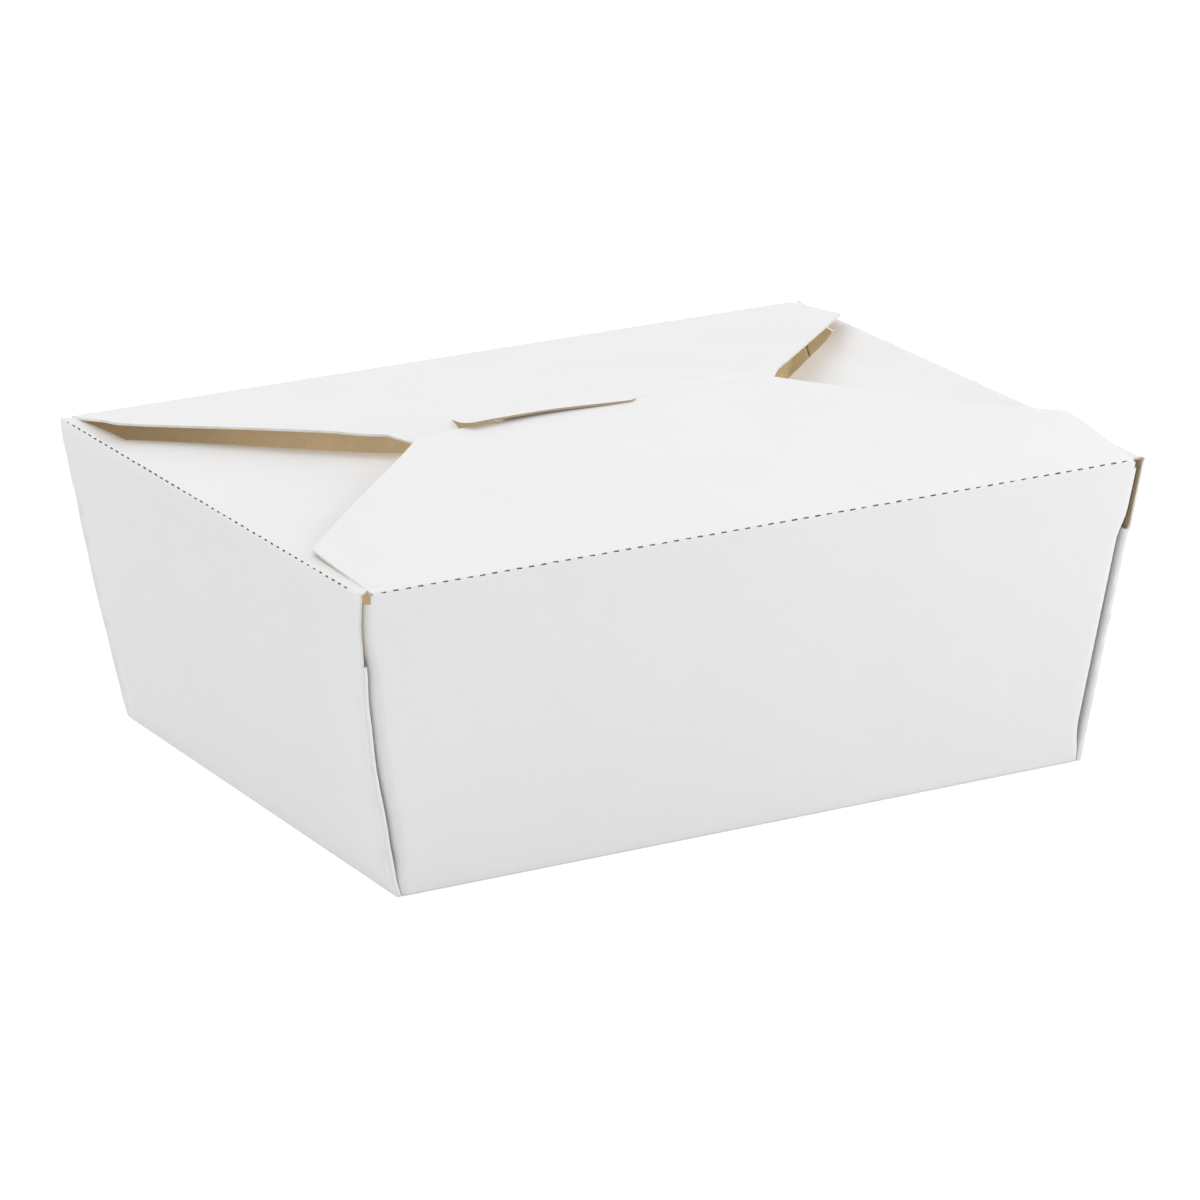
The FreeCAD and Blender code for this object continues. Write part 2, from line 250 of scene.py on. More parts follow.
def makeLamp(name, kind, watts, place):
    data = bpy.data.lights.new(name, kind)
    data.energy = watts
    lamp = bpy.data.objects.new(name, data)
    bpy.context.scene.collection.objects.link(lamp)
    lamp.location = place
    return lamp


def makeLamps(setup):
    for name in ("key", "fill"):
        lamp = makeLamp(name, "AREA", setup[name + "Watts"], setup[name + "Place"])
        lamp.data.shape, lamp.data.size = "SQUARE", setup[name + "Size"]
        aim = Vector(setup["aim"]) - lamp.location
        lamp.rotation_euler = aim.to_track_quat("-Z", "Y").to_euler()
    for place, watts in zip(setup["insidePlaces"], setup["insideWatts"]):
        lamp = makeLamp("inside", "POINT", watts, place)
        lamp.data.shadow_soft_size = setup["insideSize"]
        lamp.visible_camera = lamp.visible_glossy = False


def studio(setup):
    makeSky(setup)
    makeFloor(setup)
    makeLamps(setup)
    bpy.context.scene.view_settings.view_transform = "Standard"
    print("studio set")


# work on a sheet of card, whose places are given in mm

def deselectAll():
    for other in bpy.context.selected_objects:
        other.select_set(False)


def makeActive(sheet):
    deselectAll()
    sheet.select_set(True)
    bpy.context.view_layer.objects.active = sheet


def editFaces(sheet, chosen, change):
    # chosen gets the middle of a face and says whether the change is for it
    makeActive(sheet)
    bpy.context.tool_settings.mesh_select_mode = (False, False, True)
    mesh = sheet.data
    for part in (mesh.vertices, mesh.edges):
        part.foreach_set("select", [False] * len(part))
    mesh.polygons.foreach_set("select", [bool(chosen(face.center / mm)) for face in mesh.polygons])
    mesh.update()
    bpy.ops.object.mode_set(mode="EDIT")
    change()
    bpy.ops.object.mode_set(mode="OBJECT")


def dropFaces(sheet, chosen):
    editFaces(sheet, chosen, lambda: bpy.ops.mesh.delete(type="FACE"))


def cutLine(sheet, point, outward, chosen, clear=True):
    # a straight cut through a point, which clears what lies outward of it or leaves it there
    place = Vector((point[0], point[1], 0)) * mm
    normal = Vector((outward[0], outward[1], 0)).normalized()
    editFaces(sheet, chosen,
              lambda: bpy.ops.mesh.bisect(plane_co=place, plane_no=normal, clear_outer=clear))


def roundEnd(sheet, corner, first, second, radius, chosen, steps=3):
    # trims a corner with a few straight cuts that touch the same round
    a, b = Vector(first).normalized(), Vector(second).normalized()
    centre = Vector(corner) - (a + b) * (radius / (1 + a.dot(b)))
    for step in range(1, steps + 1):
        outward = (a * (steps + 1 - step) + b * step).normalized()
        cutLine(sheet, centre + outward * radius, outward, chosen)


def cardBlank(name, columns, rows):
    # a flat sheet with a vertex wherever a column meets a row
    last = len(columns) - 1, len(rows) - 1
    bpy.ops.mesh.primitive_grid_add(x_subdivisions=last[0], y_subdivisions=last[1], size=1)
    blank = bpy.context.object
    blank.name = blank.data.name = name
    for v in blank.data.vertices:
        column, row = round((v.co.x + 0.5) * last[0]), round((v.co.y + 0.5) * last[1])
        v.co = Vector((columns[column], rows[row], 0)) * mm
    return blank


def placeSheet(sheet, place):
    # place takes (across, up) in the blank and gives the point in the box
    for v in sheet.data.vertices:
        v.co = Vector(place(v.co.x / mm, v.co.y / mm)) * mm


# lines and curves

def spread(low, high, size):
    count = max(1, round(abs(high - low) / size))
    return [low + (high - low) * i / count for i in range(count + 1)]


def joined(*lists):
    line = []
    for part in lists:
        for value in part:
            if not line or value > line[-1] + hair:
                line.append(value)
    return line


def clamped(x):
    return max(0.0, min(1.0, x))


def between(line, x):
    # a smooth curve through the points of a line
    for (x0, y0), (x1, y1) in zip(line, line[1:]):
        if x <= x1:
            t = clamped((x - x0) / (x1 - x0))
            return y0 + (y1 - y0) * t * t * (3 - 2 * t)
    return line[-1][1]


def bentPath(corners, radii):
    # a line through the corners with each inner one rounded: distance -> (out, up)
    points = [Vector(corner) for corner in corners]
    pieces, start = [], points[0]
    for i in range(1, len(points) - 1):
        into, onward = (points[i] - points[i - 1]).normalized(), (points[i + 1] - points[i]).normalized()
        turn = math.atan2(into.x * onward.y - into.y * onward.x, into.dot(onward))
        back = radii[i - 1] * math.tan(abs(turn) / 2)
        first, last = points[i] - into * back, points[i] + onward * back
        side = Vector((-into.y, into.x)) * (1 if turn > 0 else -1)
        pieces.append(("run", (first - start).length, start, into))
        pieces.append(("arc", abs(turn) * radii[i - 1], first + side * radii[i - 1], first, turn))
        start = last
    onward = (points[-1] - points[-2]).normalized()
    pieces.append(("run", (points[-1] - start).length, start, onward))

    def at(distance):
        for piece in pieces:
            if distance <= piece[1] or piece is pieces[-1]:
                if piece[0] == "run":
                    return piece[2] + piece[3] * distance
                arm, angle = piece[3] - piece[2], piece[4] * distance / piece[1]
                return piece[2] + Vector((arm.x * math.cos(angle) - arm.y * math.sin(angle),
                                          arm.x * math.sin(angle) + arm.y * math.cos(angle)))
            distance -= piece[1]

    return at, [piece[1] for piece in pieces]


def turned(along, out, up, quarter):
    # from a side's own directions to the box's: quarter 0 is front, 1 right, 2 rear, 3 left
    x, y = {0: (along, -out), 1: (out, along), 2: (-along, out), 3: (-out, -along)}[quarter]
    return x, y, up


# the box and the fold down each corner, measured to the outer face of the card

box = {                      # mm
    "baseX": 76.25,          # half sizes of the floor
    "baseY": 60.25,
    "rimX": 85.75,           # and of the rim
    "rimY": 66.75,
    "tall": 63.0,
    "card": 0.45,
    "baseRound": 0.55,       # rounded crease round the floor
    "hingeRound": 0.6,       # rounded hinge creases
    "hingeTan": 0.985,       # about tan of half a hinge's turn
    "pathBack": 1e-4,        # a flap's path starts this far below the wall's top row
    "floorCuts": 7,
}

cornerFold = {               # mm
    # by height, how far behind the end wall's face a front or rear wall's edge turns in
    "curlDepth": [(0, 1.15), (8, 1.95), (46.3, 1.95), (52.3, 0.8), (64, 0.8)],
    # and the radius of that turn
    "curlRound": [(0, 1.1), (9, 2.2), (44, 2.2), (61.5, 1.9), (64, 1.9)],
    "ridge": 0.55,           # half thickness of the fold
    "ridgeBack": 0.7,
    "ridgeTop": 48.3,        # the fold runs up to here, and a cut goes on above
    "rimBack": 0.2,          # above it the end wall runs on, to here from the corner
    "runShare": 0.375,       # within this share of the fold's width in the blank
    "openShare": 0.5,        # past this share the fold ends with the cut
    "webTop": 60.6,
    "webShy": 0.999,         # the web's near half stops a hair before its middle fold
    "pleatTop": 36.0,        # far end of that middle fold
    "pleatReach": 22.8,
    "pleatClear": 0.4,
    "notchLow": 60.9,        # hole at the top of the corner
}

foldWear = {
    "crinkle": 0.34,         # mm, creases in the fold
    "crinkleEven": 0.5,      # the part of it that is the same all along
    "crinkleAside": 0.7,
    "dent": 0.55,            # mm, soft dent beside the fold
    "dentEven": 0.55,
    "dentBack": 2.2,         # mm from the corner
    "dentWidth": 1.3,
    "standLeast": 0.05,      # mm, the most that a dent may stand outward instead
    "fadeLow": 6,            # mm over which the wear starts at the floor
    "fadeHigh": 5,           # and ends at the top of the fold
    "fadePast": 1,
    "longWave": 0.42,        # per mm
    "shortWave": 0.95,
    "shortShare": 0.6,
    "asideWave": 0.7,
    "asideAcross": 2,
    "longSeed": 0.5,         # seeds only pick a place in the noise
    "shortSeed": 3.1,
    "asideSeed": 11,
    "cornerSeed": 7.3,       # sets the two corners of a wall apart
    "sideSeed": 5.0,         # and the two end walls
    "shutPast": 0.8,         # mm above the fold's top where it has opened into the cut
    "shutOver": 1.6,
}

leftWallPush = {             # mm outward, as that wall stands in the photo
    "frontToRear": [(-67, 1.5), (-45, 0.6), (10, 0.3), (67, 0.7)],
    "upward": [(0, 0.0), (4, 0.45), (14, 0.8), (28, 1.3), (40, 1.2), (49, 0.85), (56, 0.7), (63, 0.6)],
    "leftward": [(60, 0.0), (80, 1.0)],      # share of it, from the wall's webs out to its face
    "spare": 0.02,           # it stays this far within the rim's half size
}

# where the flat part of a wall ends in its blank, and where its hinge begins
sideFlat = box["rimX"] - cornerFold["curlDepth"][-1][1] - cornerFold["curlRound"][-1][1]
endFlat = box["rimY"] - cornerFold["ridgeBack"]
hingeBack = box["hingeRound"] * box["hingeTan"]
wallTop = box["tall"] - hingeBack


def wallHalf(z, rounded=1.0):
    # half sizes of the box at a height, drawn in at the floor's crease
    lift = max(0.0, box["baseRound"] - z)
    inset = rounded * (box["baseRound"] - math.sqrt(max(0.0, box["baseRound"] ** 2 - lift ** 2)))
    share = z / box["tall"]
    return (box["baseX"] + (box["rimX"] - box["baseX"]) * share - inset,
            box["baseY"] + (box["rimY"] - box["baseY"]) * share - inset)


def pushed(x, y, z):
    if -x < leftWallPush["leftward"][0][0] or z > box["tall"]:
        return x, y, z
    push = between(leftWallPush["frontToRear"], y) * between(leftWallPush["upward"], z)
    push *= between(leftWallPush["leftward"], -x)
    room = max(0.0, box["rimX"] - leftWallPush["spare"] - wallHalf(z)[0])
    return x - min(push, room), y, z


def webReach(z, top):
    # how far the web goes along the end wall at a height
    if z <= cornerFold["pleatTop"]:
        share = z / cornerFold["pleatTop"]
    else:
        share = (top - z) / (top - cornerFold["pleatTop"])
    least = between(cornerFold["curlRound"], z) + cornerFold["pleatClear"]
    return max(cornerFold["pleatReach"] * share, least)


def sidePlace(s, z):
    # front or rear wall: (along, out) for a place s across its blank, at a height z.
    # Past the flat part, s counts 0 to 1 round the corner, to 2 along the web and to 3 round
    # the web's middle fold
    halfX, halfY = wallHalf(z)
    curl, depth = between(cornerFold["curlRound"], z), between(cornerFold["curlDepth"], z)
    reach = webReach(z, cornerFold["webTop"])
    sign, past = (1 if s > 0 else -1), abs(s) - sideFlat
    if past <= 0:
        return s / sideFlat * (halfX - depth - curl), halfY
    if past <= 1:
        angle = past * math.pi / 2
        inX = depth + curl * (1 - math.sin(angle))
        inY = curl * (1 - math.cos(angle))
    elif past <= 2:
        inX, inY = depth, curl + (past - 1) * cornerFold["webShy"] * (reach - curl)
    else:
        angle = (past - 2) * math.pi
        ridge = 2 * cornerFold["ridge"]
        inX = (depth + ridge) / 2 + (depth - ridge) / 2 * math.cos(angle)
        inY = reach + (depth - ridge) / 2 * math.sin(angle)
    return sign * (halfX - inX), halfY - inY


def cornerRun(past):
    # above the fold the end wall runs on to the corner of the rim
    back = cornerFold["ridgeBack"]
    return back - (back - cornerFold["rimBack"]) * min(1.0, past / cornerFold["runShare"])


def foldPlace(past, z, seed, worn, rough):
    # round the fold, 0 to 1 in the blank, open above its top: how far in from both walls' faces
    ridge, back = cornerFold["ridge"], cornerFold["ridgeBack"]
    angle = past * math.pi
    shut = clamped((cornerFold["ridgeTop"] + foldWear["shutPast"] - z) / foldWear["shutOver"])
    inX = ridge * (1 - math.cos(angle))
    inY = back - ridge * math.sin(angle)
    openX, openY = 0.0, cornerRun(past)
    if past >= cornerFold["openShare"]:
        openX, openY = 2 * ridge, back - ridge * (2 - 2 * past)
    inX, inY = openX + (inX - openX) * shut, openY + (inY - openY) * shut
    bend = math.sin(angle) * foldWear["crinkle"] * worn * shut
    aside = noise.noise(Vector((z * foldWear["asideWave"], seed + foldWear["asideSeed"],
                                past * foldWear["asideAcross"])))
    return inX + bend * foldWear["crinkleAside"] * aside, inY + bend * (foldWear["crinkleEven"] + rough)


def endPlace(s, z, seed):
    # left or right wall: (along, out), with the fold down each corner
    sign, past = (1 if s > 0 else -1), abs(s) - endFlat
    halfX, halfY = wallHalf(z, 1 - clamped(past))
    back, top = cornerFold["ridgeBack"], cornerFold["ridgeTop"]
    worn = clamped(z / foldWear["fadeLow"])
    worn *= clamped((top + foldWear["fadePast"] - z) / foldWear["fadeHigh"])
    long = Vector((z * foldWear["longWave"], seed + sign * foldWear["cornerSeed"], foldWear["longSeed"]))
    short = Vector((z * foldWear["shortWave"], seed, foldWear["shortSeed"]))
    rough = noise.noise(long) + foldWear["shortShare"] * noise.noise(short)
    if past <= 0:
        along = s / endFlat * (halfY - back)
        near = (halfY - abs(along) - foldWear["dentBack"]) / foldWear["dentWidth"]
        dent = foldWear["dent"] * worn * math.exp(-near ** 2) * (foldWear["dentEven"] + rough)
        return along, halfX - max(-foldWear["standLeast"], dent)
    if past <= 1:
        inX, inY = foldPlace(past, z, seed, worn, rough)
    else:
        reach = webReach(z, top if z > cornerFold["pleatTop"] else cornerFold["webTop"])
        inX, inY = 2 * cornerFold["ridge"], back + (past - 1) * (reach - back)
    return sign * (halfY - inY), halfX - inX


# the perforated hinges

cuts = {                     # mm
    "pitch": 2.57,
    "length": 1.15,
    "width": 0.36,
    "sideRow": (-80.955, 64),         # first cut on a long hinge, and how many
    "endRow": (-60.32, 49),           # on an end hinge, from the front corner
    "endShare": 0.9999,      # so that of a cut's two ends only the outer one is torn
    "beside": 0.02,
    "bendRow": 0.34,         # rows on both sides of the middle, past the cuts
    "burr": 0.16,            # torn card stands up round a cut
    "burrEven": 0.5,
    "burrRough": 0.9,
    "burrLean": 0.7,         # share of it up, and as much outward
    "burrWave": 1.7,         # along the hinge, per mm
    "burrAcross": 9,
    "burrSeed": 0.3,
    "shutEven": 0.25,        # share of its width that a cut closes by
    "shutRough": 1.6,
    "shutMost": 0.85,
    "shutWave": 2.3,
    "shutSeed": 4.1,
}


def cutEnds(row):
    first, count = row
    return [first + i * cuts["pitch"] + end * cuts["length"] / 2 for i in range(count) for end in (-1, 1)]


def isCut(s, row):
    first, count = row
    step = (s - first) / cuts["pitch"]
    return 0 <= round(step) < count and abs(step - round(step)) * cuts["pitch"] < cuts["length"] / 2


def cutHinge(sheet, hinge, row):
    dropFaces(sheet, lambda p: abs(p.y - hinge / 2) < cuts["width"] / 2 and isCut(p.x, row))


def isTorn(s, v, hinge, row):
    return abs(v - hinge / 2) <= cuts["width"] / 2 + cuts["beside"] and isCut(s * cuts["endShare"], row)


def tornEdge(s, v, hinge, row):
    # the two lips of a cut come together unevenly
    if not isTorn(s, v, hinge, row):
        return v
    lip = 1 if v > hinge / 2 else 0
    spot = Vector((s * cuts["shutWave"], cuts["shutSeed"] + lip, row[0]))
    shut = cuts["shutEven"] + cuts["shutRough"] * noise.noise(spot)
    return hinge / 2 + (v - hinge / 2) * (1 - min(cuts["shutMost"], max(0.0, shut)))


def withBurr(point, s, v, hinge, row, quarter):
    # torn card stands up and outward a little round each cut
    if not isTorn(s, v, hinge, row):
        return point
    spot = Vector((s * cuts["burrWave"], v * cuts["burrAcross"], cuts["burrSeed"]))
    lift = cuts["burr"] * (cuts["burrEven"] + cuts["burrRough"] * noise.noise(spot)) * cuts["burrLean"]
    return tuple(a + b for a, b in zip(point, turned(0.0, lift, lift, quarter)))


# columns and rows of the blanks, closer where the card bends more

blankGrid = {                # mm, or shares of a fold's width in the blank
    "baseTurns": (0, 22, 45, 68, 90),      # degrees round the floor's crease
    "lowFrom": 2,
    "lowStep": 1.55,
    "foldStep": 1.4,
    "foldPast": 0.9,
    "highFrom": 51,
    "highStep": 1.9,
    "edgeStep": 0.9,
    "endStep": 1.2,
    "endGap": 0.4,
    "curlSteps": 6,
    "foldSteps": 8,
    "webColumns": [1.06, 1.25, 1.5, 1.75, 2.0],
    "pleatSteps": 3,
    "hingePast": 1.2,
    "flapStep": 1.7,
}


def wallRows():
    rise = [box["baseRound"] * (1 - math.cos(math.radians(turn))) for turn in blankGrid["baseTurns"]]
    low = spread(blankGrid["lowFrom"], cornerFold["pleatTop"], blankGrid["lowStep"])
    middle = spread(cornerFold["pleatTop"], cornerFold["ridgeTop"], blankGrid["foldStep"])
    high = spread(blankGrid["highFrom"], cornerFold["webTop"], blankGrid["highStep"])
    heights = joined(rise, low, middle, [cornerFold["ridgeTop"] + blankGrid["foldPast"]], high,
                     [cornerFold["notchLow"], wallTop])
    return [z - wallTop for z in heights]


def hingeRows(length):
    middle, width, bend = length / 2, cuts["width"] / 2, cuts["bendRow"]
    return [0.0, middle - bend, middle - width, middle + width, middle + bend, length]


def bothEnds(edge, flat, corner):
    return [-edge - past for past in reversed(corner)] + flat + [edge + past for past in corner]


def sideColumns():
    edge, steps, pleats = blankGrid["edgeStep"], blankGrid["curlSteps"], blankGrid["pleatSteps"]
    flat = joined([-sideFlat, -sideFlat + edge], cutEnds(cuts["sideRow"]), [sideFlat - edge, sideFlat])
    corner = [i / steps for i in range(1, steps + 1)] + blankGrid["webColumns"]
    return bothEnds(sideFlat, flat, corner + [2 + i / pleats for i in range(1, pleats + 1)])


def endColumns(row):
    step, gap, steps = blankGrid["endStep"], blankGrid["endGap"], blankGrid["foldSteps"]
    ends = cutEnds(row)
    flat = joined(spread(-endFlat, ends[0] - gap, step), ends, spread(ends[-1] + gap, endFlat, step))
    return bothEnds(endFlat, flat, [i / steps for i in range(1, steps + 1)] + blankGrid["webColumns"])


# what the four flaps share

mainFlaps = {                # mm
    "half": 83.4,
    "earRound": 1.6,
}

closedTop = {                # mm above or below straight panels, from left to right
    "bow": [(-86, -0.6), (-45, -1.3), (-30, -0.5), (-10, 0.0),
            (9.4, -0.3), (30, -0.5), (45, -0.6), (86, -0.5)],
    "powerX": 4,             # how late it fades toward the rim
    "powerY": 2,
}

grow = sideFlat / mainFlaps["half"]        # a main flap is this much wider in its blank


def settle(x, y):
    fade = max(0.0, 1 - (x / box["rimX"]) ** closedTop["powerX"])
    fade *= max(0.0, 1 - (y / box["rimY"]) ** closedTop["powerY"])
    return between(closedTop["bow"], x) * fade


def hingePath(base, rim, corners, radii):
    # from just under a wall's top row, over the hinge and along its flap
    root = Vector((rim, box["tall"]))
    start = Vector(((rim - base) / box["tall"] * wallTop + base, wallTop))
    start = start - (root - start).normalized() * box["pathBack"]
    return bentPath([start, root] + corners, [box["hingeRound"]] + radii)


def sideStrip(name, flapRows=()):
    # one blank: the wall, its side edges and webs, and any flap beyond the hinge
    strip = cardBlank(name, sideColumns(), joined(wallRows(), flapRows))
    notch, web = cornerFold["notchLow"] - wallTop + slack, cornerFold["webTop"] - wallTop + slack
    pleat, firstStep = cornerFold["pleatTop"] - wallTop, 1 / blankGrid["curlSteps"]
    dropFaces(strip, lambda p: abs(p.x) > sideFlat + firstStep and p.y > notch)
    dropFaces(strip, lambda p: abs(p.x) > sideFlat and p.y > 0)
    dropFaces(strip, lambda p: abs(p.x) > sideFlat + 1 and p.y > web)
    dropFaces(strip, lambda p: abs(p.x) > sideFlat + 2 and p.y > pleat)
    return strip


def sidePoint(s, v, quarter, path=None, hinge=0.0):
    if v <= hair:
        along, out = sidePlace(s, wallTop + v)
        return pushed(*turned(along, out, wallTop + v, quarter))
    out, up = path(tornEdge(s, v, hinge, cuts["sideRow"]))
    return turned(s / grow if v > hinge else s, out, up, quarter)


def trimMainFlap(sheet, hinge, earReach, reach, farHalf):
    # ears and slanted sides of a main flap, in its blank
    for sign in (-1, 1):
        ear = (sign * sideFlat, hinge - hingeBack + earReach)
        slope = (sign * (reach - earReach), (mainFlaps["half"] - farHalf) * grow)
        cutLine(sheet, ear, slope, lambda p: p.y > hinge)
        roundEnd(sheet, ear, (sign, 0), slope, mainFlaps["earRound"], lambda p: p.y > hinge)


# rear wall and flap, with its bent lip and the tongue that the slit leaves

rearFlap = {                 # mm
    "earReach": 21.4,        # its straight sides, from the hinge
    "creaseHalf": 44.2,      # half width at the crease
    "creaseBack": 4.0,       # the crease is this far behind the box's middle
    "creaseRise": 7.5,       # and over the hinge
    "creaseRound": 3.0,
    "lipTurn": 21.0,         # degrees down from level
    "lipReach": 10.0,
    "lipStep": 1.2,
    "bendSteps": 3,
    "tongueLeft": -29.7,
    "tongueRight": 9.4,
    "tongueReach": 5.0,
    "tongueRound": 2.4,
    "tongueTurns": (22.5, 45, 67.5),       # degrees, the cuts of a rounded corner
    "tongueNear": 1.5,       # those cuts go this far past the round
    "tongueStep": 1.0,
    "straightShare": 0.3,    # the tongue's plane goes this far past the crease
    "droopLeast": 0.12,      # at the tongue's left end
    "droopMore": 0.85,       # and on top of that at its right end
    "droopFrom": 6,
    "droopOver": 34,
    "earLift": 0.35,         # the left ear curls up a little
    "earFrom": 66,
    "earOver": 17,
    "earMiddle": 21,
    "earSpread": 14,
    "bulgeAcross": [(-84, 1.0), (-66, 0.85), (-53, 0.65), (-44, -0.1), (-30, 0.0)],
    "bulgeAlong": [(0, 0.0), (19, 1.15), (50, 1.05), (70, 0.0)],
}


def cutTongue(strip, left, right, bend, tip):
    # the slit goes round the tongue, which becomes a sheet of its own
    radius = rearFlap["tongueRound"]
    reach = radius + rearFlap["tongueNear"]
    ends = ((left, -1), (right, 1))
    for edge in (left, right):
        cutLine(strip, (edge, 0), (1, 0), lambda p: p.y > bend - slack, False)
    for edge, sign in ends:
        centre = Vector((edge - sign * radius, tip - radius))
        near = lambda p: left < p.x < right and abs(p.x - edge) < reach and bend < p.y < tip + slack
        for turn in rearFlap["tongueTurns"]:
            outward = Vector((sign * math.cos(math.radians(turn)), math.sin(math.radians(turn))))
            cutLine(strip, centre + outward * radius, outward, near, False)

    def onTongue(p):
        if not (left < p.x < right and bend < p.y < tip):
            return False
        for edge, sign in ends:
            past, above = (p.x - (edge - sign * radius)) * sign, p.y - (tip - radius)
            if past > 0 and above > 0 and math.hypot(past, above) > radius:
                return False
        return True

    editFaces(strip, onTongue, lambda: bpy.ops.mesh.separate(type="SELECTED"))
    return next(other for other in bpy.context.selected_objects if other != strip)


def rearBow(point, v, extra=0.0):
    # the rear flap bows and bulges
    x, y, z = point
    if v <= 0:
        return point
    ear = max(0.0, -x - rearFlap["earFrom"]) / rearFlap["earOver"]
    ear *= max(0.0, 1 - abs(v - rearFlap["earMiddle"]) / rearFlap["earSpread"])
    bulge = between(rearFlap["bulgeAcross"], x) * between(rearFlap["bulgeAlong"], v)
    return x, y, z + settle(x, y) + extra + rearFlap["earLift"] * ear * ear + bulge


def rearPart():
    root = Vector((box["rimY"], box["tall"]))
    crease = Vector((rearFlap["creaseBack"], box["tall"] + rearFlap["creaseRise"]))
    lip = math.radians(rearFlap["lipTurn"])
    end = crease - Vector((math.cos(lip), math.sin(lip))) * rearFlap["lipReach"]
    path, lengths = hingePath(box["baseY"], box["rimY"], [crease, end], [rearFlap["creaseRound"]])
    onward = crease + (crease - root) * rearFlap["straightShare"]
    straight, _ = hingePath(box["baseY"], box["rimY"], [onward], [])
    hinge = lengths[0] + lengths[1]
    bend = hinge + lengths[2]
    lipStart = bend + lengths[3]
    tip = bend + rearFlap["tongueReach"] + lengths[3] / 2
    steps = rearFlap["bendSteps"]
    rows = joined(hingeRows(hinge), spread(hinge + blankGrid["hingePast"], bend, blankGrid["flapStep"]),
                  [bend + lengths[3] * i / steps for i in range(1, steps + 1)],
                  spread(lipStart + rearFlap["tongueStep"], tip - slack, rearFlap["tongueStep"]),
                  spread(tip, sum(lengths), rearFlap["lipStep"]))
    strip = sideStrip("rearSide", rows)
    trimMainFlap(strip, hinge, rearFlap["earReach"], (crease - root).length, rearFlap["creaseHalf"])
    # the rear blank runs the other way across, so left and right change sign here
    left, right = -rearFlap["tongueRight"] * grow, -rearFlap["tongueLeft"] * grow
    tongue = cutTongue(strip, left, right, bend, tip)
    cutHinge(strip, hinge, cuts["sideRow"])

    def place(s, v):
        point = rearBow(sidePoint(s, v, 2, path, hinge), v)
        return withBurr(point, s, v, hinge, cuts["sideRow"], 2)

    def tonguePlace(s, v):
        # the tongue goes straight on where the lip bends down, and droops to the right
        out, up = straight(v)
        point = turned(s / grow, out, up, 2)
        past = max(0.0, v - bend) / rearFlap["tongueReach"]
        beside = point[0] - rearFlap["tongueLeft"] - rearFlap["droopFrom"]
        droop = clamped(beside / rearFlap["droopOver"])
        return rearBow(point, v, -past * (rearFlap["droopLeast"] + rearFlap["droopMore"] * droop))

    placeSheet(strip, place)
    placeSheet(tongue, tonguePlace)
    print("rear side and tongue placed")
    return [strip, tongue]


def frontWall():
    strip = sideStrip("frontSide")
    placeSheet(strip, lambda s, v: sidePoint(s, v, 0))
    print("front wall placed")
    return [strip]


# left and right walls with their pointed flaps

endFlap = {                  # mm
    "reach": 47.0,           # from its hinge to its tip
    "rise": 3.8,             # of its tip over its hinge
    "half": 66.3,            # half width at the hinge
    "under": 2.7,            # its corners are drawn in to here under the main flaps' hinges
    "underHalf": 64.6,
    "step": 4.4,
    "shoulder": 45.0,        # half width where the slanted sides start
    "tip": 2.4,              # half width between them at the tip
    "tipRound": 3.0,
    "tipLong": 8,            # the round's cuts stay within this and the next
    "tipWide": 12,
    "pastMiddle": 10,        # a slanted cut goes on this far past the middle
    "rowStep": 1.8,
    "hingePast": 1.0,
    "sharpOver": 3,          # its crease gets sharp this close to the rim's corners
    "sharpness": 0.5,
    "sharpBack": 0.02,
    "sagOver": 38,           # distance in from the rim that the sag is measured by
    "sagLeft": 0.6,
    "sagPower": 1.5,
    "sagRight": 2.7,
    "sagShape": [(-0.35, -0.8), (0.35, 0.8), (0.8, 1.0), (1.3, 1.15)],
    "puff": 0.9,             # toward the front it stands up a little
    "puffAcross": [(-64, 0.0), (-45, 1.0), (-20, 0.0)],
    "puffOut": [(66, 0.0), (80, 1.0), (86, 0.0)],
}


def trimEndFlap(strip, hinge):
    # drawn-in corners, slanted sides and rounded tip of an end flap, in its blank
    base, half, under = hinge - hingeBack, endFlap["shoulder"], endFlap["under"]
    tip = base + endFlap["reach"]
    for sign in (-1, 1):
        shoulder = (sign * half, base + endFlap["step"])
        inset = (sign * endFlap["underHalf"], base + under)
        outer = lambda p: p.y > hinge and p.x * sign > half
        cutLine(strip, shoulder, (1, 0), lambda p: p.y > hinge, False)
        cutLine(strip, inset, (sign * (endFlap["step"] - under), endFlap["underHalf"] - half), outer)
        cutLine(strip, inset, (sign * under, endFlap["half"] - endFlap["underHalf"]), outer)
        cutLine(strip, shoulder, (sign, 1),
                lambda p: p.y > hinge and -endFlap["pastMiddle"] < p.x * sign < half)
        roundEnd(strip, (sign * endFlap["tip"], tip), (0, 1), (sign, 1), endFlap["tipRound"],
                 lambda p: p.y > tip - endFlap["tipLong"] and abs(p.x) < endFlap["tipWide"])


def endFlapPoint(s, v, hinge, spot, quarter):
    out, up = spot
    past = abs(s) - endFlat
    along = s if past <= 0 else math.copysign(box["rimY"] - cornerRun(past), s)
    if v < hinge + hair:
        sharpness = endFlap["sharpness"]
        sharp = between([(endFlat - endFlap["sharpOver"], 0.0), (endFlat, sharpness),
                         (endFlat + 1, sharpness)], abs(s))
        out += (box["rimX"] - endFlap["sharpBack"] - out) * sharp
        up += (box["tall"] - up) * sharp
    x, y, z = turned(along, out, up, quarter)
    # the right flap hangs lower than the left one
    inward = max(0.0, (box["rimX"] - out) / endFlap["sagOver"])
    if quarter == 3:
        sag = endFlap["sagLeft"] * inward ** endFlap["sagPower"]
    else:
        sag = endFlap["sagRight"] * between(endFlap["sagShape"], inward)
    puff = endFlap["puff"] * between(endFlap["puffAcross"], y) * between(endFlap["puffOut"], out)
    return x, y, z + settle(x, y) - sag + puff


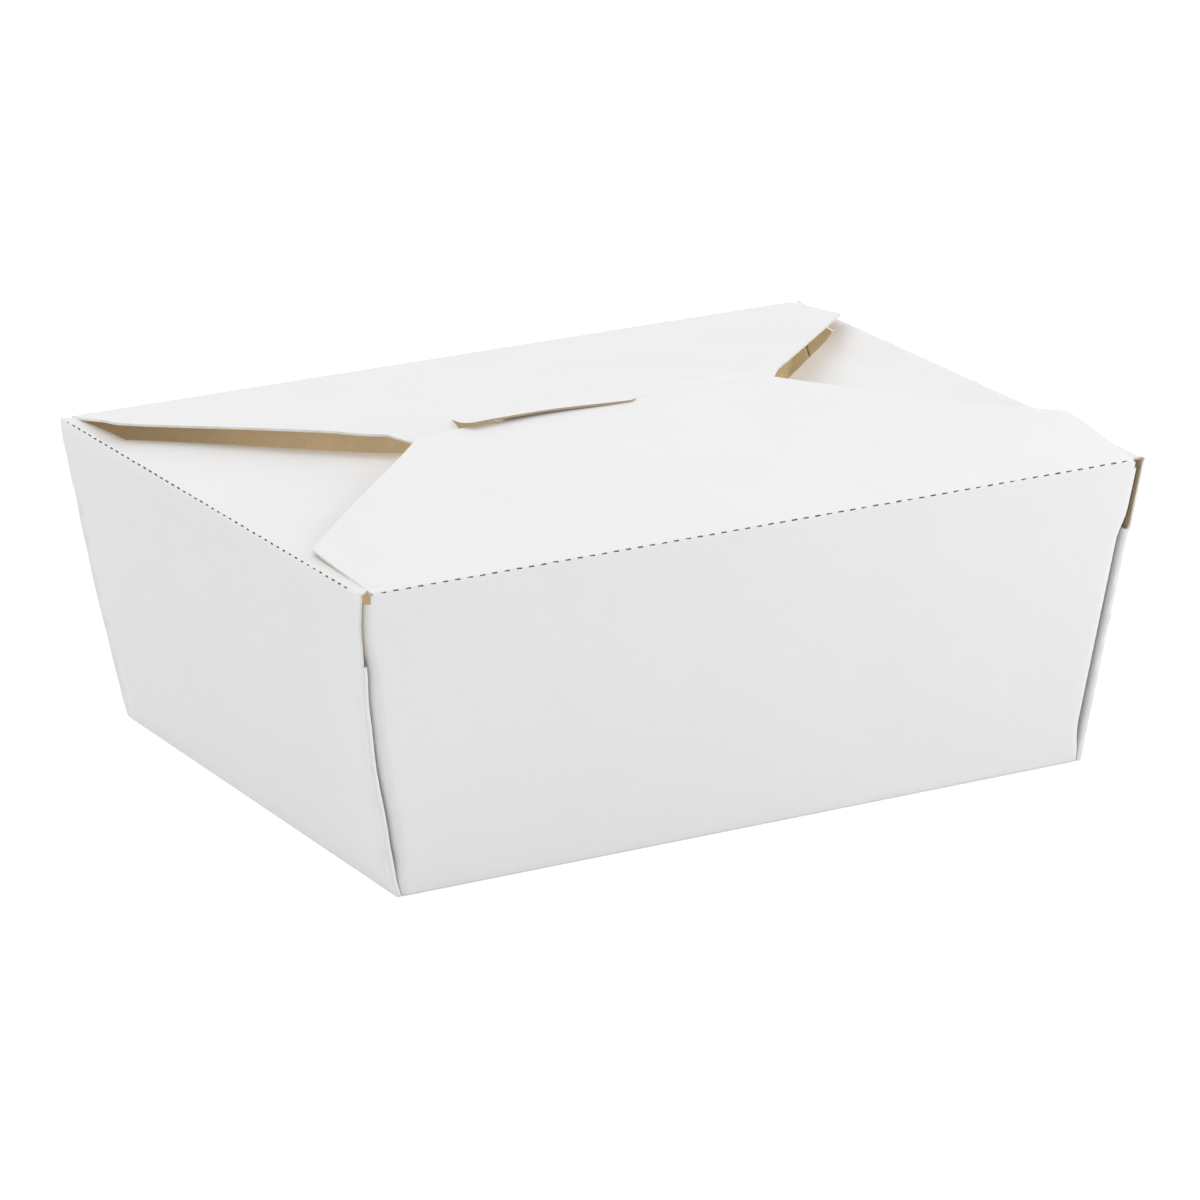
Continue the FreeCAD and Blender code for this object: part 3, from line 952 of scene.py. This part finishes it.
def endPart(name, quarter):
    slope = math.asin(endFlap["rise"] / endFlap["reach"])
    root = Vector((box["rimX"], box["tall"]))
    end = root + Vector((-math.cos(slope), math.sin(slope))) * endFlap["reach"]
    path, lengths = hingePath(box["baseX"], box["rimX"], [end], [])
    hinge = lengths[0] + lengths[1]
    row = cuts["endRow"]
    if quarter == 3:        # its blank runs the other way, from the rear corner
        row = -row[0] - (row[1] - 1) * cuts["pitch"], row[1]
    rows = joined(wallRows(), hingeRows(hinge),
                  spread(hinge + endFlap["hingePast"], sum(lengths), endFlap["rowStep"]))
    strip = cardBlank(name, endColumns(row), rows)
    top = cornerFold["ridgeTop"] - wallTop
    run = endFlat + cornerFold["runShare"]
    dropFaces(strip, lambda p: p.y > hinge and abs(p.x) > endFlat)
    dropFaces(strip, lambda p: p.y > top and abs(p.x) > run)
    trimEndFlap(strip, hinge)
    cutHinge(strip, hinge, row)

    def place(s, v):
        if v <= hair:
            along, out = endPlace(s, wallTop + v, quarter * foldWear["sideSeed"])
            point = pushed(*turned(along, out, wallTop + v, quarter))
        else:
            v = tornEdge(s, v, hinge, row)
            point = endFlapPoint(s, v, hinge, path(v), quarter)
        return withBurr(point, s, v, hinge, row, quarter)

    placeSheet(strip, place)
    print(name, "placed")
    return [strip]


def floorPart():
    x, y = wallHalf(0)
    bpy.ops.mesh.primitive_plane_add(size=2)
    panel = bpy.context.object
    panel.name = "floorPanel"
    bpy.ops.object.mode_set(mode="EDIT")
    bpy.ops.mesh.select_all(action="SELECT")
    bpy.ops.transform.resize(value=(x * mm, y * mm, 1))
    bpy.ops.mesh.subdivide(number_cuts=box["floorCuts"])
    bpy.ops.mesh.flip_normals()
    bpy.ops.object.mode_set(mode="OBJECT")
    print("floor placed")
    return [panel]


# front flap, whose tab goes through the slit and under the rear flap

frontFlap = {                # mm
    "earReach": 24.75,       # its straight sides, from the hinge
    "farHalf": 40.3,         # half width at its far edge
    "farPast": 0.45,         # its far edge is this far past the box's middle
    "farRise": 6.75,
    "farRound": 1.2,
    "tabLeft": -21.0,
    "tabRight": 10.0,
    "tabReach": 9.0,
    "tabDip": 12.0,          # degrees down from level
    "tabRound": 4.0,
    "tabTurns": 5,
    "tabRoot": 2,
    "tabStep": 1.0,
    "tabFirst": 0.8,
    "earLeft": -0.5,         # how far up the ears stand
    "earRight": 1.1,
    "earAcross": [(55, 0.0), (84, 1.0)],
    "earAlong": [(0, 0.0), (24, 1.0), (44, 0.0)],
    "skew": 0.9,             # to the right at the far edge
    "skewFrom": 22,
    "skewOver": 45,
}


def frontFlapPart():
    root = Vector((box["rimY"], box["tall"]))
    edge = Vector((-frontFlap["farPast"], box["tall"] + frontFlap["farRise"]))
    dip = math.radians(frontFlap["tabDip"])
    end = edge - Vector((math.cos(dip), math.sin(dip))) * frontFlap["tabReach"]
    path, lengths = hingePath(box["baseY"], box["rimY"], [edge, end], [frontFlap["farRound"]])
    hinge = lengths[0] + lengths[1]
    bend, far = hinge + lengths[2], sum(lengths)
    stop, tabStart = bend + lengths[3] / 2, bend + lengths[3]
    rows = joined(hingeRows(hinge), spread(hinge + blankGrid["hingePast"], bend, blankGrid["flapStep"]),
                  [stop, tabStart], spread(tabStart + frontFlap["tabFirst"], far, frontFlap["tabStep"]))
    flap = cardBlank("frontFlap", [s for s in sideColumns() if abs(s) <= sideFlat + hair], rows)
    trimMainFlap(flap, hinge, frontFlap["earReach"], (edge - root).length, frontFlap["farHalf"])
    left, right = frontFlap["tabLeft"] * grow, frontFlap["tabRight"] * grow
    for side in (left, right):
        cutLine(flap, (side, 0), (1, 0), lambda p: p.y > bend - frontFlap["tabRoot"], False)
    dropFaces(flap, lambda p: p.y > stop and not left < p.x < right)
    for side, sign in ((left, -1), (right, 1)):
        roundEnd(flap, (side, far), (sign, 0), (0, 1), frontFlap["tabRound"],
                 lambda p: p.y > stop, frontFlap["tabTurns"])
    cutHinge(flap, hinge, cuts["sideRow"])

    def place(s, v):
        out, up = path(tornEdge(s, v, hinge, cuts["sideRow"]))
        x, y, z = turned(s / grow if v > hinge else s, out, up, 0)
        ear = frontFlap["earLeft"] if x < 0 else frontFlap["earRight"]
        z += ear * between(frontFlap["earAcross"], abs(x)) * between(frontFlap["earAlong"], v)
        x += frontFlap["skew"] * max(0.0, v - hinge - frontFlap["skewFrom"]) / frontFlap["skewOver"]
        if v > hinge:
            z += settle(x, y)
        return withBurr((x, y, z), s, v, hinge, cuts["sideRow"], 0)

    placeSheet(flap, place)
    print("front flap placed")
    return [flap]


# the finished card

finish = {                   # mm
    "seam": 0.012,           # vertices closer than this are merged
    "smoothTo": 32,          # degrees
    "hingeHeights": (62.0, 63.2),      # where the cuts in the hinges show torn brown card
    "endFrom": 84.6,
    "endHalf": 62,
    "sideFrom": 65.6,
    "sideHalf": 82,
    "tongueShadeFrom": 69.0,      # and where the tongue's cut edge is painted brown, a painted shade line along it
    "tongueShadeBeside": 0.5,
    "tongueShadeY": (-3, 4),
}


# cut-edge faces that take the brown inside colour: torn card in the hinge cuts, and a painted shade line
# along the tongue's cut edge
def brownTornEdgeOrPaintedShade(name, x, y, z):
    atEnd = abs(x) > finish["endFrom"] and abs(y) < finish["endHalf"]
    atSide = abs(y) > finish["sideFrom"] and abs(x) < finish["sideHalf"]
    low, high = finish["hingeHeights"]
    if low < z < high and (atEnd or atSide):
        return True
    # painted shade: the tongue's cut edge is coloured brown where it lies over the front flap
    left = rearFlap["tongueLeft"] - finish["tongueShadeBeside"]
    right = rearFlap["tongueRight"] + finish["tongueShadeBeside"]
    front, rear = finish["tongueShadeY"]
    return name == "cartonCard" and z > finish["tongueShadeFrom"] and left < x < right and front < y < rear


def finishCard(name, parts):
    # join the blanks, close the seams, give the card its thickness and its three faces
    makeActive(parts[0])
    for part in parts:
        part.select_set(True)
    if len(parts) > 1:
        bpy.ops.object.join()
    card = bpy.context.object
    card.name = card.data.name = name
    bpy.ops.object.mode_set(mode="EDIT")
    bpy.ops.mesh.select_all(action="SELECT")
    bpy.ops.mesh.remove_doubles(threshold=finish["seam"] * mm)
    bpy.ops.object.mode_set(mode="OBJECT")
    card.data.materials.clear()
    for material in cardFaces:
        card.data.materials.append(material)
    outside, inside, cutEdge = range(len(cardFaces))
    shell = card.modifiers.new("thickness", "SOLIDIFY")
    shell.thickness, shell.offset = box["card"] * mm, -1
    shell.use_even_offset, shell.use_quality_normals = True, True
    shell.material_offset, shell.material_offset_rim = inside - outside, cutEdge - outside
    bpy.ops.object.modifier_apply(modifier=shell.name)
    for v in card.data.vertices:
        v.co.z = max(0.0, v.co.z)        # the webs' feet stay on the floor plane
    # hinge cuts show torn brown card; the tongue's cut edge turns brown as painted shade
    for face in card.data.polygons:
        if face.material_index == cutEdge and brownTornEdgeOrPaintedShade(name, *(face.center / mm)):
            face.material_index = inside
    bpy.ops.object.shade_smooth_by_angle(angle=math.radians(finish["smoothTo"]))
    print(name, len(card.data.polygons), "faces")
    return card


makeCamera(cameraSetup)
studio(lightSetup)
deselectAll()
walls = rearPart() + frontWall() + endPart("rightSide", 1) + endPart("leftSide", 3) + floorPart()
carton = finishCard("cartonCard", walls)
flap = finishCard("frontFlapCard", frontFlapPart())
for piece, node in ((carton, "carton"), (flap, "front_flap")):
    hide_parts(node)
    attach(piece, node)
print("card pieces placed")
